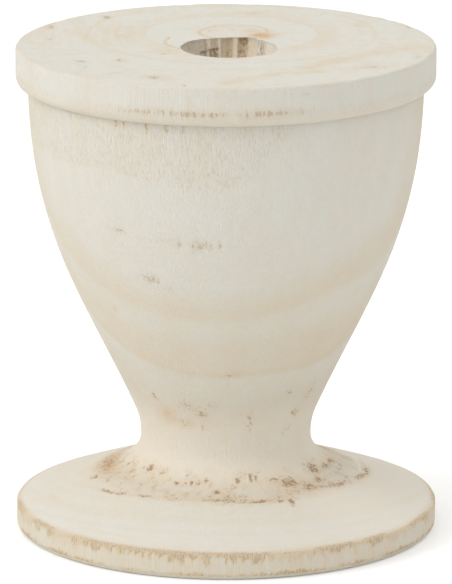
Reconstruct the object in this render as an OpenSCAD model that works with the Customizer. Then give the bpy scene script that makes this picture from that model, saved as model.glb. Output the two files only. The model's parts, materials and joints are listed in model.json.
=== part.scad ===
// Turned wooden candlestick: a foot disc, a cup that flares up from a narrow
// waist, and a rim plate, joined by glued dowels. One candle hole is drilled
// off-centre, down through the rim plate and on into the cup.
// +Z is up and the origin is the centre of the foot's underside, in millimetres.

/* [Overall] */
// Height from the foot's underside to the top face
height = 120; // [105:1:150]
// Diameter of the rim plate
rim_d = 102; // [85:1:124]
// Diameter of the foot
foot_d = 103; // [86:1:124]

/* [Rim plate] */
// Thickness of the rim plate
rim_t = 9.7; // [8:0.1:14]
// How far the rim stands out past the top of the cup
rim_overhang = 2.9; // [1.5:0.1:5]
// Height of the quarter-round under the rim
rim_under_h = 2.7; // [1.5:0.1:5]
// Radius on the rim's top edge
rim_edge_r = 0.4; // [0.2:0.1:1.5]

/* [Cup] */
// Diameter of the waist, the narrowest place
waist_d = 41.6; // [34.6:0.2:50]
// Height of the waist above the foot's underside
waist_z = 23; // [20:0.5:28]
// Radius of the curve that turns out of the waist into the flare
waist_arc_r = 17.8; // [12:0.2:24]
// Lean of the flare out of upright where it leaves the waist, in degrees
flare_lean = 24; // [16:1:30]
// Lean of the cup's side out of upright where it meets the rim, in degrees
top_lean = 1; // [0:0.5:8]
// How long the flare keeps its lower lean, as a share of its height
flare_low_pull = 0.34; // [0.2:0.01:0.45]
// How long the side keeps its upper lean, as a share of the flare's height
flare_top_pull = 0.46; // [0.3:0.01:0.55]

/* [Foot] */
// Thickness of the foot disc at its joint with the cup
foot_t = 14.7; // [12:0.1:17]
// Height of the foot's upright side
foot_side_h = 5.85; // [4:0.05:8]
// Radius on the foot's upper edge
foot_top_edge_r = 0.8; // [0.3:0.1:1.5]
// Radius on the foot's lower edge
foot_bottom_edge_r = 1.6; // [0.3:0.1:2.5]
// Slope of the foot's top near its edge, in degrees
foot_slope = 20.6; // [12:0.2:26]
// How far the slope runs in towards the waist, as a share of the way
cove_slope_pull = 0.67; // [0.4:0.01:0.8]
// How far the waist's upright runs down, as a share of the cove's height
cove_waist_pull = 0.45; // [0.2:0.01:0.7]

/* [Candle hole] */
// Diameter of the candle hole, for a dinner or taper candle of about 22 mm
candle_hole_d = 23; // [20:0.2:28]
// Depth of the candle hole below the top face
candle_hole_depth = 25; // [18:0.5:40]
// Place of the candle hole to the right of the axis
candle_hole_x = 0.9; // [-4:0.1:4]
// Place of the candle hole behind the axis, negative towards the front
candle_hole_y = -4.2; // [-8:0.1:8]

/* [Dowels] */
// Diameter of the dowel between the cup and the foot
foot_dowel_d = 12; // [8:0.5:16]
// Length of the dowel between the cup and the foot
foot_dowel_l = 34; // [20:1:50]
// Wood left in the foot under its dowel hole
foot_floor = 4; // [3:0.5:6]
// Diameter of the dowels between the rim plate and the cup
rim_dowel_d = 8; // [5:0.5:10]
// Length of the dowels between the rim plate and the cup
rim_dowel_l = 20; // [14:1:30]
// Wood left in the rim plate over its dowel holes
rim_cover = 3.2; // [2.5:0.1:5]
// Distance from the cup's top edge in to the middle of each rim dowel
rim_dowel_inset = 16; // [12:0.5:18]
// Glue gap all round a dowel
glue_gap = 0.1; // [0.05:0.05:0.3]
// Glue space past the upper end of a dowel
end_gap = 1; // [0.5:0.1:2]

/* [Hidden] */

round_steps = 96; // facets of a full turn on the screen; solids stay round
curve_steps = 28; // pieces in the flare and in the cove
arc_steps = 8; // pieces in each small arc
cut_over = 1; // how far a cutter runs past the face it opens

foot_r = foot_d / 2;
waist_r = waist_d / 2;
cup_top_r = rim_d / 2 - rim_overhang;
rim_z = height - rim_t;

rim_dowel_x = cup_top_r - rim_dowel_inset;
rim_dowel_top_z = height - rim_cover - end_gap;
rim_dowel_bottom_z = rim_dowel_top_z - rim_dowel_l;

$fn = round_steps;

// A cubic Bezier curve from a to d that leaves towards b and arrives from c
function bezier(a, b, c, d, steps) =
    [for (i = [0:steps]) let (t = i / steps, s = 1 - t)
        s * s * s * a + 3 * s * s * t * b + 3 * s * t * t * c + t * t * t * d];

// A round or oval arc about centre, with half-axes rx and ry, from angle a0 to a1
function arc(centre, rx, ry, a0, a1, steps) =
    [for (i = [0:steps]) let (a = a0 + (a1 - a0) * i / steps)
        centre + [rx * cos(a), ry * sin(a)]];

// The foot's side with its two rounded edges, up to the start of the slope
function foot_side() = concat(
    arc([foot_r - foot_bottom_edge_r, foot_bottom_edge_r],
        foot_bottom_edge_r, foot_bottom_edge_r, -90, 0, arc_steps),
    arc([foot_r - foot_top_edge_r, foot_side_h],
        foot_top_edge_r, foot_top_edge_r, 0, 90 - foot_slope, arc_steps));

// The sloping top of the foot, curving up into the upright of the waist
function cove() =
    let (start = foot_side()[2 * arc_steps + 1], end = [waist_r, waist_z])
    let (run = cove_slope_pull * (start.x - end.x) / cos(foot_slope))
    let (drop = cove_waist_pull * (end.y - start.y))
    bezier(start, start + run * [-cos(foot_slope), sin(foot_slope)],
        end - [0, drop], end, curve_steps);

// The curve out of the waist, up to the lean of the flare
function waist_turn() = arc([waist_r + waist_arc_r, waist_z],
    waist_arc_r, waist_arc_r, 180, 180 - flare_lean, arc_steps);

// The flare, from the waist's curve up to the crease under the rim
function flare() =
    let (start = waist_turn()[arc_steps], end = [cup_top_r, rim_z])
    let (low = flare_low_pull * (end.y - start.y) / cos(flare_lean))
    let (high = flare_top_pull * (end.y - start.y) / cos(top_lean))
    bezier(start, start + low * [sin(flare_lean), cos(flare_lean)],
        end - high * [sin(top_lean), cos(top_lean)], end, curve_steps);

// A curve without its first point, to follow on from one that ends there
function rest_of(curve) = [for (i = [1:len(curve) - 1]) curve[i]];

// Half outline of the foot and the cup together, which run into each other
function turned_outline() = concat([[0, 0]], foot_side(), rest_of(cove()),
    rest_of(waist_turn()), rest_of(flare()), [[0, rim_z]]);

// Half outline of the rim plate
function rim_outline() = concat([[0, rim_z]],
    arc([cup_top_r, rim_z + rim_under_h], rim_overhang, rim_under_h, -90, 0, arc_steps),
    arc([rim_d / 2 - rim_edge_r, height - rim_edge_r],
        rim_edge_r, rim_edge_r, 0, 90, arc_steps),
    [[0, height]]);

// The turned outline between two heights, spun round the axis
module turned(low_z, high_z) {
    rotate_extrude()
        intersection() {
            polygon(turned_outline());
            translate([0, low_z])
                square([rim_d + foot_d, high_z - low_z]);
        }
}

// A hole for a dowel from bottom_z up to top_z, the glue gap wider all round
module dowel_hole(diameter, bottom_z, top_z) {
    translate([0, 0, bottom_z])
        cylinder(d = diameter + 2 * glue_gap, h = top_z - bottom_z);
}

// Puts what follows at both rim dowels
module at_rim_dowels() {
    for (side = [-1, 1])
        translate([side * rim_dowel_x, 0, 0])
            children();
}

// The cutter for the candle hole, drilled through the glued rim plate into the cup
module candle_hole() {
    translate([candle_hole_x, candle_hole_y, height - candle_hole_depth])
        cylinder(d = candle_hole_d, h = candle_hole_depth + cut_over);
}

module foot_disc() {
    color([0.85, 0.82, 0.75])
        difference() {
            turned(0, foot_t);
            dowel_hole(foot_dowel_d, foot_floor, foot_t + cut_over);
        }
}

module cup_body() {
    color([0.84, 0.82, 0.77])
        difference() {
            turned(foot_t, rim_z);
            dowel_hole(foot_dowel_d, foot_t - cut_over, foot_floor + foot_dowel_l + end_gap);
            at_rim_dowels()
                dowel_hole(rim_dowel_d, rim_dowel_bottom_z, rim_z + cut_over);
            candle_hole();
        }
}

module rim_plate() {
    color([0.87, 0.84, 0.79])
        difference() {
            rotate_extrude()
                polygon(rim_outline());
            at_rim_dowels()
                dowel_hole(rim_dowel_d, rim_z - cut_over, height - rim_cover);
            candle_hole();
        }
}

module foot_dowel() {
    color([0.79, 0.67, 0.49])
        translate([0, 0, foot_floor])
            cylinder(d = foot_dowel_d, h = foot_dowel_l);
}

module rim_dowels() {
    color([0.79, 0.67, 0.49])
        at_rim_dowels()
            translate([0, 0, rim_dowel_bottom_z])
                cylinder(d = rim_dowel_d, h = rim_dowel_l);
}

foot_disc();
cup_body();
rim_plate();
foot_dowel();
rim_dowels();
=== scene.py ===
"""A turned, whitewashed wooden candlestick: a foot disc, a cup on a narrow waist, a rim plate and dowels.

Surface functions work in millimetres, as a turner measures, and meshes are in metres. An azimuth is
an angle round the turning axis in degrees: 0 at the front, -Y, and 90 at the right, +X.
"""

import json
import math

import bpy
import numpy as np
from bpy.props import FloatProperty, FloatVectorProperty, PointerProperty
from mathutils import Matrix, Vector


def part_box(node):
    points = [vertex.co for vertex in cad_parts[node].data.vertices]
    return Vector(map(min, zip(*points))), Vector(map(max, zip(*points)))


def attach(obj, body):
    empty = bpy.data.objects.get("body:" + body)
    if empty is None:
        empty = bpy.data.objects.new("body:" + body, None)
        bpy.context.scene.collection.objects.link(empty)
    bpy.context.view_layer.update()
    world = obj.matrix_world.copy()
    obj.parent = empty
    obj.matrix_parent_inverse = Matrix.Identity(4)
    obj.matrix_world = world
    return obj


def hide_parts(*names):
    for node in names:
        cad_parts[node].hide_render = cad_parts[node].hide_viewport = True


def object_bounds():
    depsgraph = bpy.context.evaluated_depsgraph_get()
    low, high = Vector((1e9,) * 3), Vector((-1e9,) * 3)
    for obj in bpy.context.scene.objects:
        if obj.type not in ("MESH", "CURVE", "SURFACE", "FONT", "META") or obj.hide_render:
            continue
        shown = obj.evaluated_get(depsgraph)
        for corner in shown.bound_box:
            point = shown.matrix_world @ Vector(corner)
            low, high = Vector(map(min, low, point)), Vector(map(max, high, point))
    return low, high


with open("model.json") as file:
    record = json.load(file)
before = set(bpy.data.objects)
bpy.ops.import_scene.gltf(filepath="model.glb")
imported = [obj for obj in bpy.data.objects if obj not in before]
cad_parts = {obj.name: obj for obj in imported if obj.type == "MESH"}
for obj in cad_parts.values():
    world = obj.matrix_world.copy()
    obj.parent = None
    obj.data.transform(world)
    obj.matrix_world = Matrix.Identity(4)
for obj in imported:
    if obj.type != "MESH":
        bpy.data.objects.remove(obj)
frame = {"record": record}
cad_low, cad_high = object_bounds()

bl_info = {
    "name": "Turned candlestick",
    "version": (1, 0, 0),
    "blender": (4, 5, 0),
    "location": "3D View > Sidebar > Candlestick",
    "description": "Makes a whitewashed wooden candlestick around its packed frame",
    "category": "Add Mesh",
}

MM = 0.001  # metres in a millimetre
COLUMNS = 560  # points round every turned ring
DRILL_SIDES = 48  # points round the cutters of the rim's dowel holes
DOWEL_COLUMNS = 144  # points round a dowel
DOWEL_FLUTES = 18
FLUTE_DEPTH = 0.25
DOWEL_BEVEL = 1.0
FOOT_JOINT_EDGE = 1.6  # from the outside in to where the foot joint's flat face starts
RIM_JOINT_EDGE = 1.2  # the same for the joint under the rim
# What each point of a whitewashed piece says about its wood, and where light is painted in as paler colour;
# side_wear explains them.
MARKS = ("ring", "torn", "brown", "amber", "tan", "weathered_and_painted_light", "fibres")

BORE = next(m for m in frame["record"]["mounts"] if m["name"] == "candle_bore")
BORE_CENTRE = np.array(BORE["pos_m"][:2]) / MM
BORE_RADIUS = BORE["dims"]["r_mm"]
BORE_DEPTH = BORE["dims"]["length_mm"]

PITH = (1.3, 13.0)  # where the tree's pith runs up through the wood


# ------------------------------------------------------------------ sizes and finishes


def cad_size(node, corner, axis):
    """One coordinate of a node's box in millimetres. corner is 0 for the lowest, 1 for the highest."""
    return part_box(node)[corner][axis] / MM


def size(name, default, description):
    """A length in millimetres, or an angle in degrees, that a user may change."""
    return FloatProperty(name=name, default=default, description=description, min=0.0, precision=2)


def tint(name, default, description):
    """A colour that a user may change, as a screen shows it."""
    return FloatVectorProperty(
        name=name, default=default, description=description, subtype="COLOR_GAMMA", size=3, min=0.0, max=1.0
    )


class CandlestickSizes(bpy.types.PropertyGroup):
    """Sizes of the turned shape in millimetres, taken from the frame where it states them."""

    top_height: size("Height", cad_size("rim_plate", 1, 2), "Height of the top face")
    rim_radius: size("Rim radius", cad_size("rim_plate", 1, 0), "Radius of the rim plate")
    crease_height: size("Crease height", cad_size("rim_plate", 0, 2), "Height of the joint under the rim")
    rim_overhang: size("Rim overhang", 2.9, "How far the rim stands out past the cup")
    rim_under: size("Quarter-round", 2.7, "Height of the quarter-round under the rim")
    rim_edge: size("Rim edge", 0.7, "Radius on the rim's top edge")
    waist_radius: size("Waist radius", 20.8, "Radius of the narrowest place")
    waist_height: size("Waist height", 23.0, "Height of the narrowest place")
    waist_arc: size("Waist curve", 17.8, "Radius of the curve that turns out of the waist")
    flare_lean: size("Flare lean", 24.0, "Lean of the flare as it leaves the waist, in degrees")
    flare_low_pull: size("Flare's lower pull", 0.34, "Share of the flare that keeps its lower lean")
    flare_top_pull: size("Flare's upper pull", 0.46, "Share of the flare that keeps its upper lean")
    top_lean: size("Top lean", 1.0, "Lean of the cup's side where it meets the rim, in degrees")
    joint_height: size("Foot joint", cad_size("foot_disc", 1, 2), "Height of the joint on the foot")
    foot_radius: size("Foot radius", cad_size("foot_disc", 1, 0), "Radius of the foot")
    foot_side: size("Foot side", 5.85, "Height of the foot's upright side")
    foot_top_edge: size("Foot upper edge", 0.8, "Radius on the foot's upper edge")
    foot_low_edge: size("Foot lower edge", 1.6, "Radius on the foot's lower edge")
    foot_slope: size("Foot slope", 20.6, "Slope of the foot's top near its edge, in degrees")
    cove_slope_pull: size("Cove's slope pull", 0.67, "Share of the cove that keeps the foot's slope")
    cove_waist_pull: size("Cove's waist pull", 0.45, "Share of the cove that keeps upright")
    glue_gap: size("Glue gap", 0.1, "Gap all round a dowel")
    end_gap: size("Glue space", 1.0, "Space over the upper end of a dowel")


class CandlestickFinish(bpy.types.PropertyGroup):
    """Colours of the wood and of what the whitewash leaves bare. The pale colour is also painted light, put
    where the neck, the foot's top and the candle hole lie in shade.
    """

    wash: tint("Whitewash", (0.836, 0.826, 0.788), "Wood under a full coat of whitewash")
    bare: tint("Bare wood", (0.825, 0.757, 0.645), "Wood where the whitewash is thin")
    pit: tint("Pits", (0.66, 0.55, 0.42), "Torn pits and rubbed edges")
    amber: tint("Amber", (0.80, 0.66, 0.48), "Resin-coloured patches")
    # Pale dry wood in the hole, and painted light: the same pale colour lightens the shaded neck, foot top
    # and hole walls.
    weathered_and_painted_light: tint("Weathered And Painted Light", (0.97, 0.935, 0.88), "Pale dry wood in the hole and on the foot and neck")
    dowel: tint("Dowel", (0.78, 0.65, 0.47), "Plain beech of the dowels")


class CandlestickStage(bpy.types.PropertyGroup):
    """Where the camera stands and how strong the lamps are."""

    camera_distance: FloatProperty(
        name="Camera distance", default=1.5, unit="LENGTH", description="From the lens to what it aims at"
    )
    camera_elevation: FloatProperty(
        name="Camera elevation", default=math.radians(13.99), subtype="ANGLE", description="Above level"
    )
    aim_height: FloatProperty(
        name="Aim height", default=0.05825, unit="LENGTH", description="Height that the camera aims at"
    )
    focal_length: FloatProperty(name="Focal length", default=378.1, description="Of the lens, in millimetres")
    key_power: FloatProperty(
        name="Key lamp", default=18.6, unit="POWER", description="Soft box at the left front"
    )
    fill_power: FloatProperty(
        name="Fill lamp", default=0.8, unit="POWER", description="Soft box at the right, behind"
    )
    glow: FloatProperty(name="Paper glow", default=0.11, description="Light that the floor gives off")
    sky: FloatProperty(name="Room light", default=0.06, description="White light from the walls")
    ceiling: FloatProperty(name="Ceiling light", default=1.13, description="White light from overhead")


# ------------------------------------------------------------------ noise and masks


def lattice(x, y, z, seed):
    """A random share, 0 to 1, for whole-numbered points: the coordinates times large odd numbers are
    combined bit by bit and stirred with shifts and products in 32 bits."""
    h = (x * 73856093) ^ (y * 19349663) ^ (z * 83492791) ^ (seed * 2654435761)
    h &= 0xFFFFFFFF
    h = ((h ^ (h >> 15)) * 2246822519) & 0xFFFFFFFF
    h = ((h ^ (h >> 13)) * 3266489917) & 0xFFFFFFFF
    return (h ^ (h >> 16)) / 0xFFFFFFFF


def noise(p, grain, seed=0):
    """Smooth noise, -1 to 1: lattice values at the eight corners round each point, blended along each
    axis by 3t^2 - 2t^3. grain is the size of a lump along x, y and z."""
    q = p / np.asarray(grain, float)
    base = np.floor(q).astype(np.int64)
    t = q - base
    t = t * t * (3 - 2 * t)
    total = 0.0
    for corner in range(8):
        bits = [corner >> axis & 1 for axis in range(3)]
        share = 1.0
        for axis, bit in enumerate(bits):
            share = share * (t[..., axis] if bit else 1 - t[..., axis])
        at = [base[..., axis] + bit for axis, bit in enumerate(bits)]
        total = total + share * lattice(*at, seed)
    return 2 * total - 1


def cloudy(p, grain, seed=0, layers=3):
    """Noise in layers, each with half the lump size and half the weight of the one before."""
    grain = np.asarray(grain, float)
    weights = 0.5 ** np.arange(layers)
    total = sum(w * noise(p, grain * w, seed + 17 * k) for k, w in enumerate(weights))
    return total / weights.sum()


def ramp(start, end, value):
    """0 before start and 1 past end, by 3t^2 - 2t^3 between them. start may be the larger."""
    t = np.clip((value - start) / (end - start), 0, 1)
    return t * t * (3 - 2 * t)


def turn(azimuth, other):
    """The shortest way from one azimuth to another, in degrees."""
    return (azimuth - other + 180) % 360 - 180


def strongest(first, *others):
    """The largest of several masks at every point."""
    for other in others:
        first = np.maximum(first, other)
    return first


def patches(azimuth, level, places):
    """Soft oval patches on a turned surface: the largest of s exp(-(da/w)^2 - (dl/h)^2), where each
    place gives azimuth, level, half-width w in degrees, half-height h and strength s."""
    found = np.zeros(np.broadcast(azimuth, level).shape)
    for middle, height, half_width, half_height, strength in places:
        across, up = turn(azimuth, middle) / half_width, (level - height) / half_height
        found = np.maximum(found, strength * np.exp(-(across**2) - up**2))
    return found


def blots(x, y, places):
    """Soft oval blots on a flat face, as patches: each place gives x, y, half-widths and strength."""
    found = np.zeros(np.shape(x))
    for px, py, half_x, half_y, strength in places:
        across, behind = (x - px) / half_x, (y - py) / half_y
        found = np.maximum(found, strength * np.exp(-(across**2) - behind**2))
    return found


def from_line(x, y, points):
    """Distance from a bent line of straight stretches: the least distance to any of them."""
    least = np.full(np.shape(x), np.inf)
    for (ax, ay), (bx, by) in zip(points[:-1], points[1:]):
        dx, dy = bx - ax, by - ay
        t = np.clip(((x - ax) * dx + (y - ay) * dy) / (dx * dx + dy * dy), 0, 1)
        least = np.minimum(least, np.hypot(x - ax - t * dx, y - ay - t * dy))
    return least


# How far the rings crowd together on the right: the height, the largest share, and the way round
# from the front, in degrees, between which it grows to that share.
CROWDING = ((0, 0.04, 5, 60), (12, 0.05, 5, 60), (45, 0.16, 0, 62), (75, 0.09, 28, 70), (105, 0.0, 30, 70))


def ring_label(p):
    """Distance from the pith in millimetres, as the growth rings count it: the rings waver, and on the
    right they crowd together, most of all below the middle."""
    across, behind = p[..., 0] - PITH[0], p[..., 1] - PITH[1]
    distance = np.hypot(across, behind)
    way = np.degrees(np.arctan2(across, -behind))
    heights, *columns = zip(*CROWDING)
    most, start, end = (np.interp(p[..., 2], heights, column) for column in columns)
    crowding = most * ramp(start, end, way) * ramp(150, 90, way)
    waver = 0.4 * cloudy(p, (28, 28, 70), 3) * ramp(6, 24, distance)
    return distance * (1 + crowding) + waver


# ------------------------------------------------------------------ outlines


def arc(centre, across, up, start, end, points=24):
    """Part of an ellipse: centre + (across cos a, up sin a) for a from start to end, in degrees."""
    a = np.radians(np.linspace(start, end, points))
    return np.column_stack([centre[0] + across * np.cos(a), centre[1] + up * np.sin(a)])


def bezier(a, b, c, d, points=300):
    """The cubic s^3 a + 3 s^2 t b + 3 s t^2 c + t^3 d, with s = 1 - t and t from 0 to 1."""
    a, b, c, d = (np.asarray(corner, float) for corner in (a, b, c, d))
    t = np.linspace(0, 1, points)[:, None]
    s = 1 - t
    return s**3 * a + 3 * s * s * t * b + 3 * s * t * t * c + t**3 * d


def leaning(angle, length):
    """A step of a length that leans outwards from upright by an angle in degrees."""
    return length * np.array([math.sin(math.radians(angle)), math.cos(math.radians(angle))])


class Outline:
    """A path of (radius, height) points with its length so far and its outward direction."""

    def __init__(self, *stretches):
        path = np.vstack(stretches)
        steps = np.hypot(*np.diff(path, axis=0).T)
        keep = np.append(True, steps > 1e-6)
        self.path = path[keep]
        self.run = np.append(0, np.cumsum(steps[steps > 1e-6]))
        along = np.gradient(self.path, self.run, axis=0)
        along /= np.hypot(*along.T)[:, None]
        self.out = np.column_stack([along[:, 1], -along[:, 0]])

    def at_height(self, height):
        """The length of path up to a height, on a path that rises all the way."""
        return np.interp(height, self.path[:, 1], self.run)

    def pick(self, run):
        """Points and outward directions at given lengths of path."""
        point = np.column_stack([np.interp(run, self.run, self.path[:, k]) for k in (0, 1)])
        out = np.column_stack([np.interp(run, self.run, self.out[:, k]) for k in (0, 1)])
        return point, out / np.hypot(*out.T)[:, None]

    def radius(self, run):
        """Radius at one length of path."""
        return np.interp(run, self.run, self.path[:, 0])


def turned_outline(s):
    """The foot and the cup in one rising path: low edge, upright side, upper edge, slope and cove,
    waist curve, flare. It ends at the crease."""
    low = arc((s.foot_radius - s.foot_low_edge, s.foot_low_edge), s.foot_low_edge, s.foot_low_edge, -90, 0)
    edge = arc(
        (s.foot_radius - s.foot_top_edge, s.foot_side), s.foot_top_edge, s.foot_top_edge, 0, 90 - s.foot_slope
    )
    start, waist = edge[-1], np.array([s.waist_radius, s.waist_height])
    slope = leaning(s.foot_slope - 90, s.cove_slope_pull * (start[0] - waist[0]))
    slope /= math.cos(math.radians(s.foot_slope))
    upright = np.array([0, s.cove_waist_pull * (waist[1] - start[1])])
    cove = bezier(start, start + slope, waist - upright, waist)
    waist_turn = arc(
        (s.waist_radius + s.waist_arc, s.waist_height), s.waist_arc, s.waist_arc, 180, 180 - s.flare_lean
    )
    foot_of_flare, crease = waist_turn[-1], np.array([s.rim_radius - s.rim_overhang, s.crease_height])
    rise = crease[1] - foot_of_flare[1]
    lower = leaning(s.flare_lean, s.flare_low_pull * rise / math.cos(math.radians(s.flare_lean)))
    upper = leaning(s.top_lean, s.flare_top_pull * rise / math.cos(math.radians(s.top_lean)))
    flare = bezier(foot_of_flare, foot_of_flare + lower, crease - upper, crease)
    return Outline(low, edge, cove, waist_turn, flare)


def rim_outline(s):
    """The rim's outside: the quarter-round from the crease, the upright side and the top edge."""
    under_centre = (s.rim_radius - s.rim_overhang, s.crease_height + s.rim_under)
    under = arc(under_centre, s.rim_overhang, s.rim_under, -90, 0)
    edge = arc((s.rim_radius - s.rim_edge, s.top_height - s.rim_edge), s.rim_edge, s.rim_edge, 0, 90)
    return Outline(under, edge)


# ------------------------------------------------------------------ grids and meshes


def azimuths():
    """The azimuth of every column, in degrees, starting at the back so that the front has no seam."""
    return np.linspace(-180, 180, COLUMNS, endpoint=False)


def ring_points(radius, height, centre=(0, 0)):
    """Rings of points: centre + radius (sin a, -cos a) at a height. radius and height are a value for
    each ring, or for each ring and column."""
    a = np.radians(azimuths())
    radius = np.atleast_1d(radius).astype(float)
    height = np.atleast_1d(height).astype(float)
    radius = radius[:, None] if radius.ndim == 1 else radius
    height = height[:, None] if height.ndim == 1 else height
    x = centre[0] + radius * np.sin(a)
    y = centre[1] - radius * np.cos(a)
    return np.stack(np.broadcast_arrays(x, y, height), axis=-1)


def steps(start, end, rows):
    """Rows of even values after start, up to and with end."""
    return np.linspace(start, end, rows + 1)[1:]


def blend_rings(a, b, shares):
    """Rings between two rings: a + share (b - a), for each share."""
    return a[None] + np.asarray(shares)[:, None, None] * (b - a)[None]


def placed_object(name, data):
    """A new object at the origin of the scene."""
    made = bpy.data.objects.new(name, data)
    bpy.context.scene.collection.objects.link(made)
    return made


def pole_faces(here, aside, first, last):
    """Triangles between the first ring of points and one pole, and the last ring and another."""
    start = np.column_stack([np.full_like(here[0], first), aside[0], here[0]])
    end = np.column_stack([here[-1], aside[-1], np.full_like(here[0], last)])
    return start.tolist() + end.tolist()


def closed_mesh(name, rings, marks, ends=None):
    """A closed mesh in metres from rings of points that go outside upwards and inside downwards. With
    two end points it closes on them as poles. Without, the last ring joins the first. marks holds a
    value for every ring point by name, and each becomes a point attribute."""
    rows, columns = rings.shape[:2]
    places = rings.reshape(-1, 3)
    here = np.arange(rows * columns).reshape(rows, columns)
    aside = np.roll(here, -1, axis=1)
    above, above_aside = np.roll(here, -1, axis=0), np.roll(aside, -1, axis=0)
    quads = np.stack([here, aside, above_aside, above], axis=-1)
    faces = quads.reshape(-1, 4).tolist()
    values = {mark: np.broadcast_to(value, (rows, columns)).ravel() for mark, value in marks.items()}
    if ends is not None:
        faces = quads[:-1].reshape(-1, 4).tolist()
        faces += pole_faces(here, aside, len(places), len(places) + 1)
        places = np.vstack([places, ends])
        values = {m: np.append(v, [v[:columns].mean(), v[-columns:].mean()]) for m, v in values.items()}
    mesh = bpy.data.meshes.new(name)
    mesh.from_pydata((places * MM).tolist(), [], faces)
    for mark, value in values.items():
        mesh.attributes.new(mark, "FLOAT", "POINT").data.foreach_set("value", value.astype(np.float32))
    mesh.shade_smooth()
    mesh.validate()
    return placed_object(name, mesh)


def dowel_layout(node):
    """Radius of a node's dowels, and how far to each side of the axis they stand, in millimetres."""
    low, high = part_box(node)
    radius = (high[1] - low[1]) / (2 * MM)
    return radius, high[0] / MM - radius


def drill_rim_dowels(piece, gap, low, high):
    """Cuts the two upright holes for the rim's dowels out of a piece, from low to high and a glue gap
    wider than the dowels. Each cutter is two rings of points, centre + radius (cos a, sin a)."""
    radius, reach = dowel_layout("rim_dowels")
    ring = np.arange(DRILL_SIDES)
    above, aside = ring + DRILL_SIDES, np.roll(ring, -1)
    walls = np.column_stack([ring, aside, aside + DRILL_SIDES, above])
    a = 2 * math.pi * ring / DRILL_SIDES
    circle = (radius + gap) * np.column_stack([np.cos(a), np.sin(a)])
    places, faces = [], []
    for x in (-reach, reach):
        first = 2 * DRILL_SIDES * len(places)
        levels = [np.column_stack([circle + (x, 0), np.full(DRILL_SIDES, z)]) for z in (low, high)]
        places.append(np.vstack(levels))
        faces += (walls + first).tolist()
        faces += [(ring[::-1] + first).tolist(), (above + first).tolist()]
    mesh = bpy.data.meshes.new("drill")
    mesh.from_pydata((np.vstack(places) * MM).tolist(), [], faces)
    drill = placed_object("drill", mesh)
    cut = piece.modifiers.new("dowel holes", "BOOLEAN")
    cut.object, cut.operation, cut.solver = drill, "DIFFERENCE", "EXACT"
    done = bpy.data.meshes.new_from_object(piece.evaluated_get(bpy.context.evaluated_depsgraph_get()))
    whole = piece.data
    piece.modifiers.clear()
    piece.data = done
    done.name = piece.name
    bpy.data.meshes.remove(whole)
    bpy.data.objects.remove(drill)
    bpy.data.meshes.remove(mesh)


def finish_piece(piece, material, slot, *nodes, sharp=38):
    """Gives a piece its material, keeps its hard edges hard, and ties it to the frame."""
    piece.data.materials.clear()
    piece.data.materials.append(material)
    piece.data.set_sharp_from_angle(angle=math.radians(sharp))
    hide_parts(*nodes)
    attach(piece, "root")
    return piece


# ------------------------------------------------------------------ wear of the turned sides

# Azimuth, height, half-width in degrees, half-height and strength of groups of upright gashes.
SIDE_PITS = (
    (-35, 82.5, 4, 1.0, 0.78),
    (-20, 81, 5, 0.9, 0.7),
    (-14.5, 80.6, 1.0, 1.6, 0.9),
    (-7.5, 80, 3.6, 1.8, 0.9),
    (-2, 80.4, 1.0, 1.8, 0.9),
    (-26, 70.5, 4.5, 2.2, 0.84),
    (-20, 68.5, 6, 1.4, 0.66),
    (8, 4.6, 4, 0.9, 0.9),
    (118, 79, 9, 3, 0.8),
    (152, 58, 8, 2.6, 0.8),
    (-128, 84, 9, 2.6, 0.8),
)
# Azimuth and height of single short gashes in the cup's side.
SIDE_TICKS = (
    (-35.6, 82.3), (-33.8, 82.8), (-14.6, 80.4), (-10, 80.2), (-8.7, 80.8), (-7.3, 80.3), (-6, 80.8),
    (-4.4, 80.4), (-2, 80.6), (-28, 70.6), (-26.4, 69.8), (-25, 70.8), (-23.4, 70.2), (120, 79), (123, 80),
    (150, 58), (153, 59), (-130, 84), (-127, 83.4),
)
# Brown specks on the neck, given as the groups of gashes are.
NECK_SPECKS = (
    (-47, 60.5, 1.0, 0.9, 0.9),
    (-43, 37.0, 1.6, 1.2, 0.9),
    (-40.5, 35.6, 1.2, 1.2, 0.8),
    (-22, 35.6, 7, 1.6, 0.6),
    (-14, 33.8, 5, 1.6, 0.6),
    (-8, 36, 3, 1.2, 0.55),
    (15, 31.5, 2.4, 3.6, 0.62),
    (36, 38.4, 4, 1.2, 0.6),
    (52, 37.5, 4, 2.4, 0.62),
    (46, 32.4, 3, 1.3, 0.8),
    (44, 28, 5, 2, 0.45),
    (-14, 29.4, 3, 1, 0.5),
    (-26, 30.5, 6, 1.4, 0.45),
    (-16, 45.4, 5, 0.45, 0.75),
    (2, 45.1, 7, 0.45, 0.75),
    (-158, 40, 12, 4, 0.6),
    (170, 34, 10, 4, 0.6),
    (110, 33, 8, 3, 0.6),
)
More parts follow.
